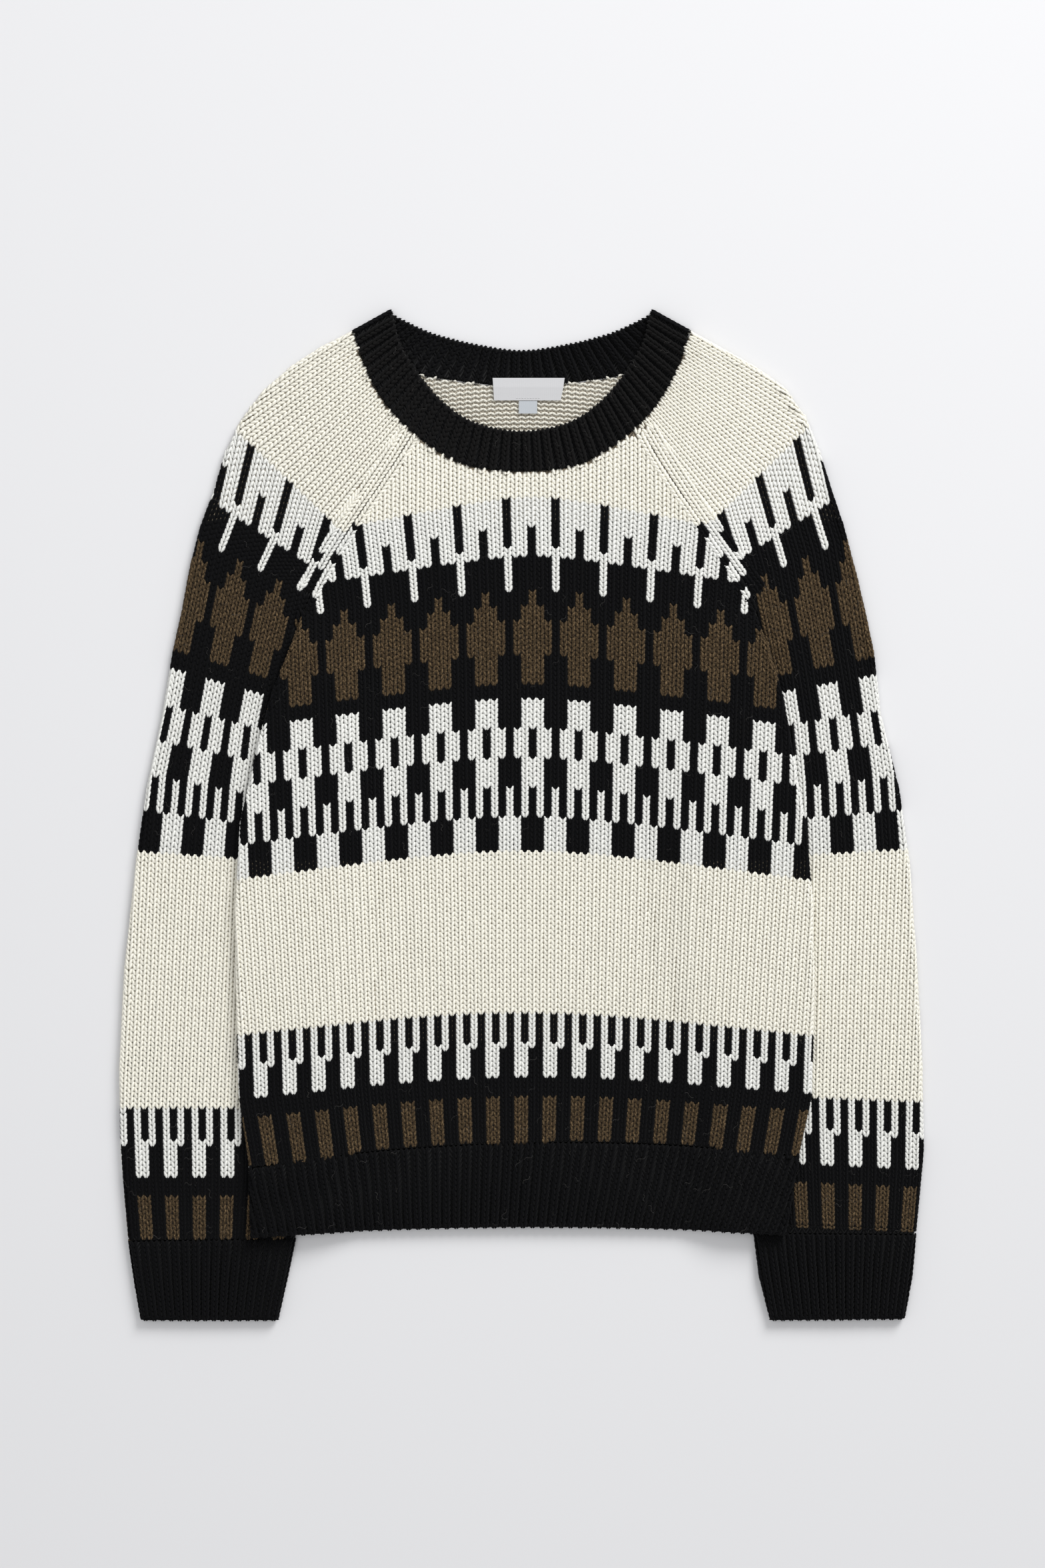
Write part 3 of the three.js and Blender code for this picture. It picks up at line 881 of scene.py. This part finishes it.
front_pieces = []
for part, area in zip(split(centre, 3), ("yoke", "waist", "border")):
    label = f"front_{area}_stitches"
    laid = [values[part] for values in (centre, across, up, colour, heather)]
    front_pieces.append(knit(label, *laid, YARN, "patterned_knit"))


# Sleeves

def sleeve_place(table):
    """Plan place of a sleeve's stitches, in metres, as a function of wale and row."""
    columns = np.array(table, float).T

    def place(wale, row):
        x, y, dx, dy = (np.interp(row, columns[0], columns[k]) for k in (1, 2, 3, 4))
        before = np.minimum(row - columns[0][0], 0)
        slope = (columns[1:3, 1] - columns[1:3, 0]) / (columns[0][1] - columns[0][0])
        x = x + before * slope[0]
        y = y + before * slope[1]
        return np.column_stack([x + wale * dx, y + wale * dy]) * MM

    return place


hem_ground = Ground("hem_front")


def sleeve_stitches(name, side, table):
    """Stitches of one sleeve, without those well under the body."""
    ground = Ground("sleeve_" + name, above=TUBE_UPPER)
    rows = (TOP_ROW, SLEEVE_LAST_ROW + 1)
    wale, row, place, across, up = grid(sleeve_place(table), SLEEVE_WALES, rows)

    def on_seam(nearest, out):
        beside = (nearest[:, 1] > SLEEVE_SEAM_START) & (nearest[:, 1] < RAGLAN_TOP)
        return beside & (out[:, 0] * side < SLEEVE_SEAM_OUT)

    def ends(nearest, out):
        outer = out[:, 0] * side > SLEEVE_SIDE_OUT
        return edges(nearest, (SEAM, nearest[:, 1] > SLEEVE_FOLD_TOP), (FOLD, outer))

    def shown(place, inside, nearest, out):
        under = np.maximum(front.edge(place)[0], hem_ground.edge(place)[0])
        free = inside > SLEEVE_FREE_WALES * WALE * MM
        return (under < HIDDEN * MM) & (~on_seam(nearest, out) | free)

    charted = chart_colours(wale + SLEEVE_CHART_SHIFT, row, SLEEVE_BORDER_ROW)
    *spots, keep = lay(place, across, up, ground, ends, shown)
    laid = [(*spots, charted[0][keep], charted[1][keep])]
    for inset in (0.5, 1.5):
        beside = raglan_wale(ground, side, inset * WALE, on_seam, SLEEVE_WALE_START)
        spots = lay(*beside, ground, flat_ends)[:3]
        spots[0][:, 2] += RAGLAN_LIFT * MM
        laid.append((*spots, *nearest_stitch(spots[0], place, *charted)))
    centre, across, up, colour, heather = (np.concatenate(part) for part in zip(*laid))
    pieces = []
    for part, area in zip(split(centre, 2), ("cap", "forearm")):
        label = f"sleeve_{name}_{area}_stitches"
        laid = [values[part] for values in (centre, across, up, colour, heather)]
        pieces.append(knit(label, *laid, YARN, "patterned_knit"))
    return pieces


sleeve_pieces = {
    "left": sleeve_stitches("left", -1, SLEEVE_LEFT),
    "right": sleeve_stitches("right", 1, SLEEVE_RIGHT),
}


# Inside of the back

def inside_back():
    """Purl side of the back, where the neck opening shows it."""
    wale, row = (a.ravel() for a in np.meshgrid(np.arange(*PURL_WALES), np.arange(*PURL_ROWS)))
    x = wale * WALE
    y = PURL_TOP - PURL_COURSE * row - PURL_DROOP * x * x
    place = np.column_stack([x, y]) * MM
    inside, nearest, out = back.edge(place)
    shown = (inside > -TUCK * MM) & (front.edge(place)[0] < -PURL_REACH * MM)
    cast = np.where((inside < TUCK * MM)[:, None], nearest - out * TUCK * MM, place)[shown]
    place = place[shown]
    height, _ = back.below(cast, PURL_RAY)
    centre = np.column_stack([place, height])
    across = np.tile((WALE * MM, 0, 0), (len(place), 1))
    up = np.tile((0, COURSE * MM, 0), (len(place), 1))
    # The purl stitches take cream darkened as painted shade
    return plain_knit("back_inside_purl", centre, across, up, SHADED_PURL_CREAM, YARN, "patterned_knit",
                      PURL_SINK, PURL)


purl_piece = inside_back()


# Ribs

def rib_columns(name, start, end, ribs, rows, ground, ends=None, spare=0,
                ray_start=RAY_START, outward=False, yarn=BLACK):
    """Columns of stitches between two lines, whose plan points are given for shares of 0 to 1.

    ends rolls the stitches over the edges; without it they drop on to the ground from ray_start. spare
    columns are added at both sides. outward turns the stitches to open to the end line.
    """
    column = np.arange(-spare, ribs + spare)
    share = np.repeat((column + 0.5) / ribs, rows)
    along = np.tile((np.arange(rows) + 0.5) / rows, len(column))[:, None]
    a, b = start(share), end(share)
    place = a + (b - a) * along
    side = (start(share + 0.25 / ribs) - start(share - 0.25 / ribs)) * (1 - along)
    side = side + (end(share + 0.25 / ribs) - end(share - 0.25 / ribs)) * along
    side *= RIB_WIDTH * MM / np.linalg.norm(side, axis=1)[:, None]
    up = (b - a if outward else a - b) / rows
    over = side[:, 0] * up[:, 1] - side[:, 1] * up[:, 0] < 0
    side[over] *= -1
    if ends is None:
        height, _ = ground.below(place, ray_start)
        keep = ~np.isnan(height)
        flat = np.zeros((keep.sum(), 1))
        centre = np.column_stack([place, height])[keep]
        across = np.hstack([side[keep], flat])
        upward = np.hstack([up[keep], flat])
    else:
        centre, across, upward, _ = lay(place, side, up, ground, ends, level=True)
    return plain_knit(name, centre, across, upward, yarn, RIB_YARN, "black_rib", RIB_STITCH_SINK)


def rib_ends(nearest, out):
    return edges(nearest, (FOLD, np.abs(out[:, 0]) > SIDE_OUT), (EDGE, out[:, 1] < -SIDE_OUT))


def arc(points):
    """A smooth plan line through points, as a function of the share of its length."""
    points = np.array(points, float) * MM
    padded = np.vstack([2 * points[0] - points[1], points, 2 * points[-1] - points[-2]])
    fine = []
    for k in range(1, len(padded) - 2):
        p0, p1, p2, p3 = padded[k - 1:k + 3]
        for t in np.linspace(0, 1, 24, endpoint=False):
            fine.append(0.5 * (2 * p1 + (p2 - p0) * t + (2 * p0 - 5 * p1 + 4 * p2 - p3) * t * t
                               + (3 * p1 - p0 - 3 * p2 + p3) * t ** 3))
    fine = np.array(fine + [points[-1]])
    length = np.concatenate([[0], np.cumsum(np.linalg.norm(np.diff(fine, axis=0), axis=1))])
    length /= length[-1]

    def place(share):
        return np.column_stack([np.interp(share, length, fine[:, k]) for k in (0, 1)])

    return place


def mirrored(half):
    """The whole line of a half that ends on the centre line."""
    return arc(list(half) + [(-x, y) for x, y in reversed(half[:-1])])


def hem_seam(share):
    x = BODY_FOOT[0] - HEM_SPREAD + (BODY_FOOT[1] - BODY_FOOT[0] + 2 * HEM_SPREAD) * share
    return np.column_stack([x, body_row_y(x, BODY_LAST_ROW + 0.1)]) * MM


def hem_edge(share):
    xl, yl, xr, yr, middle = HEM_EDGE
    crown = middle - (yl + yr) / 2
    x = xl + (xr - xl) * share
    y = yl + (yr - yl) * share + crown * (1 - (2 * share - 1) ** 2)
    return np.column_stack([x, y]) * MM


def cast_on(name, edge, ground):
    """The chain of the cast-on row, along the outer edge of a rib."""
    length = np.linalg.norm(edge(np.ones(1)) - edge(np.zeros(1))) / MM
    count = int(length / CAST_ON[1])
    share = (np.arange(count) + 0.5) / count
    place = edge(share) + (0, CAST_ON_INSET * MM)
    step = edge(share + 0.5 / count) - edge(share - 0.5 / count)
    height, _ = ground.below(place)
    keep = ~np.isnan(height)
    flat = np.zeros(keep.sum())
    centre = np.column_stack([place[keep], height[keep]])
    along = np.column_stack([step[keep], flat])
    across = np.column_stack([-step[keep, 1], step[keep, 0], flat])
    across *= -CAST_ON[0] * MM / np.linalg.norm(across, axis=1)[:, None]
    return plain_knit(name, centre, across, along, BLACK, RIB_YARN, "black_rib", CAST_ON_SINK)


hem_piece = rib_columns("hem_front_ribs", hem_seam, hem_edge, HEM_RIBS, HEM_ROWS, hem_ground, rib_ends, 1)
hem_chain = cast_on("hem_cast_on", hem_edge, hem_ground)


def cuff_piece(name, table):
    """Ribs and cast-on row of one cuff."""
    ground = Ground("cuff_" + name, above=TUBE_UPPER)
    table = np.array(table, float) * MM

    def line(row):
        a, b = table[row, :2], table[row, 2:]
        return lambda share: a + (b - a) * np.asarray(share)[:, None]

    ribs = rib_columns(f"cuff_{name}_ribs", line(0), line(-1), CUFF_RIBS, CUFF_ROWS, ground, rib_ends, 1)
    return [ribs, cast_on(f"cuff_{name}_cast_on", line(-1), ground)]


cuff_pieces = {"left": cuff_piece("left", CUFF_LEFT), "right": cuff_piece("right", CUFF_RIGHT)}


def band_folds():
    """Rib columns that go round the two folds of the neckband at the shoulders."""
    places = []
    for side in (-1, 1):
        seam, free = (np.array((-side * line[0][0], line[0][1])) for line in (SEAM_FRONT, FREE_FRONT))
        along = (free - seam) / np.linalg.norm(free - seam)
        way = np.array((side * abs(along[1]), abs(along[0])))
        for turn in (math.pi / 3, math.pi * 2 / 3):
            for k in range(BAND_ROWS):
                plan = seam + (free - seam) * (k + 0.5) / BAND_ROWS + way * BAND_RADIUS * math.sin(turn)
                centre = (*plan, BAND_MIDDLE + BAND_RADIUS * math.cos(turn))
                across = (*(way * math.cos(turn) * RIB_WIDTH), -math.sin(turn) * RIB_WIDTH)
                up = (*((free - seam) / BAND_ROWS), 0)
                outward = np.cross(across, up)
                wanted = (*(way * math.sin(turn)), math.cos(turn))
                if np.dot(outward, wanted) < 0:
                    across = tuple(-v for v in across)
                places.append((centre, across, up))
    centre, across, up = (np.array(part) * MM for part in zip(*places))
    return plain_knit("neckband_fold_ribs", centre, across, up, BLACK, RIB_YARN, "black_rib",
                      FOLD_STITCH_SINK)


band_ground = Ground("neckband", above=LOW_UPPER)
band_pieces = [
    # The front ribs take the black lightened as painted sheen
    rib_columns("neckband_front_ribs", mirrored(SEAM_FRONT), mirrored(FREE_FRONT), FRONT_RIBS, BAND_ROWS,
                band_ground, outward=True, yarn=SHEEN_BAND_BLACK),
    rib_columns("neckband_back_ribs", mirrored(SEAM_BACK), mirrored(FREE_BACK), BACK_RIBS, BAND_ROWS,
                band_ground, ray_start=BAND_RAY, outward=True),
    band_folds(),
]


# Sewing and stray fibres

def label_sewing():
    """Small stitches that hold the size tab under the label."""
    ground = Ground("label", above=LOW_UPPER)
    x = np.linspace(*SEWING_X, SEWING_STITCHES)
    place = np.column_stack([x, np.full(len(x), SEWING_Y)]) * MM
    height, _ = ground.below(place)
    centre = np.column_stack([place, height])
    across = np.tile((1.0, 0, 0), (len(centre), 1))
    up = np.tile((0, 1.0, 0), (len(centre), 1))
    return plain_knit("label_sewing", centre, across, up, SEWING_GREY, YARN, "label_tape",
                      0.0, THREAD, 0)


def stray_fibres(name, pieces, count, slot):
    """Loose light hairs that lie on dark knitting, at stitches picked by a seeded draw."""
    spots = []
    for piece in pieces:
        mesh = piece.data
        points = np.empty(len(mesh.vertices) * 3)
        mesh.vertices.foreach_get("co", points)
        yarn = np.empty(len(mesh.vertices) * 4)
        mesh.attributes["yarn"].data.foreach_get("color", yarn)
        points, yarn = points.reshape(-1, 3), yarn.reshape(-1, 4)
        top = points.reshape(-1, len(STITCH[0]), 3).max(1)[:, 2]
        middle = points.reshape(-1, len(STITCH[0]), 3).mean(1)
        dark = yarn.reshape(-1, len(STITCH[0]), 4)[:, 0, 0] < DARK_YARN
        spots.append(np.column_stack([middle[:, :2], top])[dark])
    spots = np.vstack(spots)
    centre = spots[rng.choice(len(spots), count, replace=False)]
    angle = rng.uniform(0, 2 * math.pi, count)
    size = rng.uniform(*HAIR_SIZES, count)
    across = np.column_stack([np.cos(angle) * size, np.sin(angle) * size, np.zeros(count)])
    up = np.column_stack([-np.sin(angle), np.cos(angle), np.zeros(count)])
    colour = np.tile(HAIR_GREY, (count, 1)) * rng.uniform(*HAIR_TONES, count)[:, None]
    return knit(name, centre, across, up, colour, np.zeros(count), YARN, slot, HAIR_SINK, FIBRE, 0)


front_pieces.append(stray_fibres("front_stray_fibres", front_pieces[:3], FRONT_HAIRS, "patterned_knit"))
for side in ("left", "right"):
    label = f"sleeve_{side}_stray_fibres"
    fibres = stray_fibres(label, sleeve_pieces[side][:2], SLEEVE_HAIRS, "patterned_knit")
    sleeve_pieces[side].append(fibres)
hem_fibres = stray_fibres("hem_stray_fibres", [hem_piece], HEM_HAIRS, "black_rib")
band_pieces.append(stray_fibres("neckband_stray_fibres", band_pieces[:1], BAND_HAIRS, "black_rib"))
label_sewing()


# Cloth under the stitches

def underside_group(name, row_y, border):
    """The charts as colour from X and Y: a ramp for each column, picked in turn along X."""
    group, source, target = new_group(name, {"Vector": "Vector"}, {"Color": "Color"})
    parts = add_node(group, "SeparateXYZ")
    height = add_node(group, "MapRange", From_Min=BACKING_LOW, From_Max=BACKING_HIGH)
    wales = math_node(group, "DIVIDE", WALE * MM)
    column = math_node(group, "FLOORED_MODULO", CHART_TURN)
    link(source.outputs["Vector"], parts.inputs["Vector"])
    link(parts.outputs["Y"], height.inputs["Value"])
    link(parts.outputs["X"], wales.inputs[0])
    link(wales.outputs[0], column.inputs[0])
    stretches = YOKE + [(border - 1, "c")] + [(border + last, repeat) for last, repeat in BORDER]
    colour = None
    for k in range(CHART_TURN):
        bands = []
        for last, repeat in reversed(stretches):
            bands.append((row_y(last + 0.5), CLOTH_YARNS[repeat[k % len(repeat)]]))
        ramp = banded(group, [(BACKING_LOW, BLACK)] + bands)
        link(height.outputs["Result"], ramp.inputs["Fac"])
        if colour is None:
            colour = ramp.outputs["Color"]
            continue
        beyond = math_node(group, "GREATER_THAN", k)
        link(column.outputs[0], beyond.inputs[0])
        colour = mixed_colour(group, beyond.outputs[0], colour, ramp.outputs["Color"])
    link(colour, target.inputs["Color"])
    return group


def sleeve_row_y(table):
    """Height on the page of a sleeve's rows, in metres, as a function of row."""
    columns = np.array(table, float).T
    return lambda row: float(np.interp(row, columns[0], columns[2])) * MM


def back_row_y(row):
    return float(body_row_y(HALF_SIDE, row)) * MM


BACK_CHART = underside_group("back_chart", back_row_y, BODY_BORDER_ROW)
BACK_BACKING = backing_finish("back_backing", BACK_YARN_AND_SHADE_BANDS, BACK_CHART)
SLEEVE_BACKING = {
    side: backing_finish(
        f"sleeve_{side}_backing", BACKING_YARN_AND_SHADE_BANDS,
        underside_group(f"sleeve_{side}_chart", sleeve_row_y(table), SLEEVE_BORDER_ROW),
    )
    for side, table in (("left", SLEEVE_LEFT), ("right", SLEEVE_RIGHT))
}


def backing(node, material, stitches, sink=BASE_SINK):
    """A copy of a CAD piece, merged, with its top and sides let in to leave room for the stitches."""
    deselect()
    piece = bpy.data.objects.new(node + "_cloth", nodes[node].data.copy())
    bpy.context.scene.collection.objects.link(piece)
    piece.data.materials.clear()
    piece.data.materials.append(material)
    piece.select_set(True)
    bpy.context.view_layer.objects.active = piece
    bpy.ops.object.mode_set(mode="EDIT")
    bpy.ops.mesh.select_all(action="SELECT")
    bpy.ops.mesh.remove_doubles(threshold=MERGE)
    bpy.ops.object.mode_set(mode="OBJECT")
    mesh = bmesh.new()
    mesh.from_mesh(piece.data)
    mesh.normal_update()
    moves = {v: v.normal * sink * MM for v in mesh.verts if v.normal.z > LET_IN_FACING}
    for vertex, move in moves.items():
        vertex.co -= move
    mesh.to_mesh(piece.data)
    area = sum(f.calc_area() for f in mesh.faces) / 2
    mesh.free()
    bpy.ops.object.shade_smooth_by_angle(angle=math.radians(SMOOTH_ANGLE))
    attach(piece, "root")
    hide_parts(node)
    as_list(stitches)


backing("front_panel", BACKING, front_pieces)
backing("back_panel", BACK_BACKING, [purl_piece])
for side in ("left", "right"):
    finish = SLEEVE_BACKING[side]
    backing("sleeve_" + side, finish, sleeve_pieces[side])
    backing("cuff_" + side, RIB_BACKING, cuff_pieces[side], RIB_SINK)
hem_pieces = [hem_piece, hem_chain, hem_fibres]
backing("hem_front", RIB_BACKING, hem_pieces, RIB_SINK)
backing("hem_back", RIB_BACKING, [])
backing("neckband", RIB_BACKING, band_pieces, RIB_SINK)

for node, name, colour in (("label", "label_weave", LABEL_GREY), ("size_tab", "tab_weave", TAB_GREY)):
    nodes[node].data.materials.clear()
    nodes[node].data.materials.append(tape_finish(name, colour))


# Floor, light and camera

def floor():
    deselect()
    bpy.ops.mesh.primitive_plane_add(size=FLOOR_SIZE, location=(0, 0, -FLOOR_DROP))
    plane = bpy.context.object
    plane.name = "floor"
    material, _, shader = new_material("pale_paper", 0.9, 0)
    shader.inputs["Base Color"].default_value = FLOOR_COLOUR
    plane.data.materials.append(material)


def area_light(name, place, size, power):
    """A round light that looks at the middle of the jumper."""
    light = bpy.data.lights.new(name, "AREA")
    light.shape = "DISK"
    light.size = size
    light.energy = power
    lamp = bpy.data.objects.new(name, light)
    lamp.location = place
    lamp.rotation_euler = (-Vector(place)).to_track_quat("-Z", "Y").to_euler()
    bpy.context.scene.collection.objects.link(lamp)


floor()
area_light("key_light", place=(2.0, 3.1, 2.4), size=2.2, power=162)
area_light("fill_light", place=(-0.4, -0.1, 2.3), size=1.8, power=11)
world = bpy.data.worlds.new("studio")
world.use_nodes = True
sky = world.node_tree.nodes["Background"]
sky.inputs["Color"].default_value = SKY_COLOUR
sky.inputs["Strength"].default_value = SKY_STRENGTH
bpy.context.scene.world = world
bpy.context.scene.view_settings.view_transform = "Standard"

camera = bpy.data.cameras.new("camera")
camera.sensor_width = SENSOR
camera.lens = SENSOR * CAMERA_HEIGHT / FRAME_LENGTH
eye = bpy.data.objects.new("camera", camera)
eye.location = (*CAMERA_AT, CAMERA_HEIGHT)
bpy.context.scene.collection.objects.link(eye)
bpy.context.scene.camera = eye
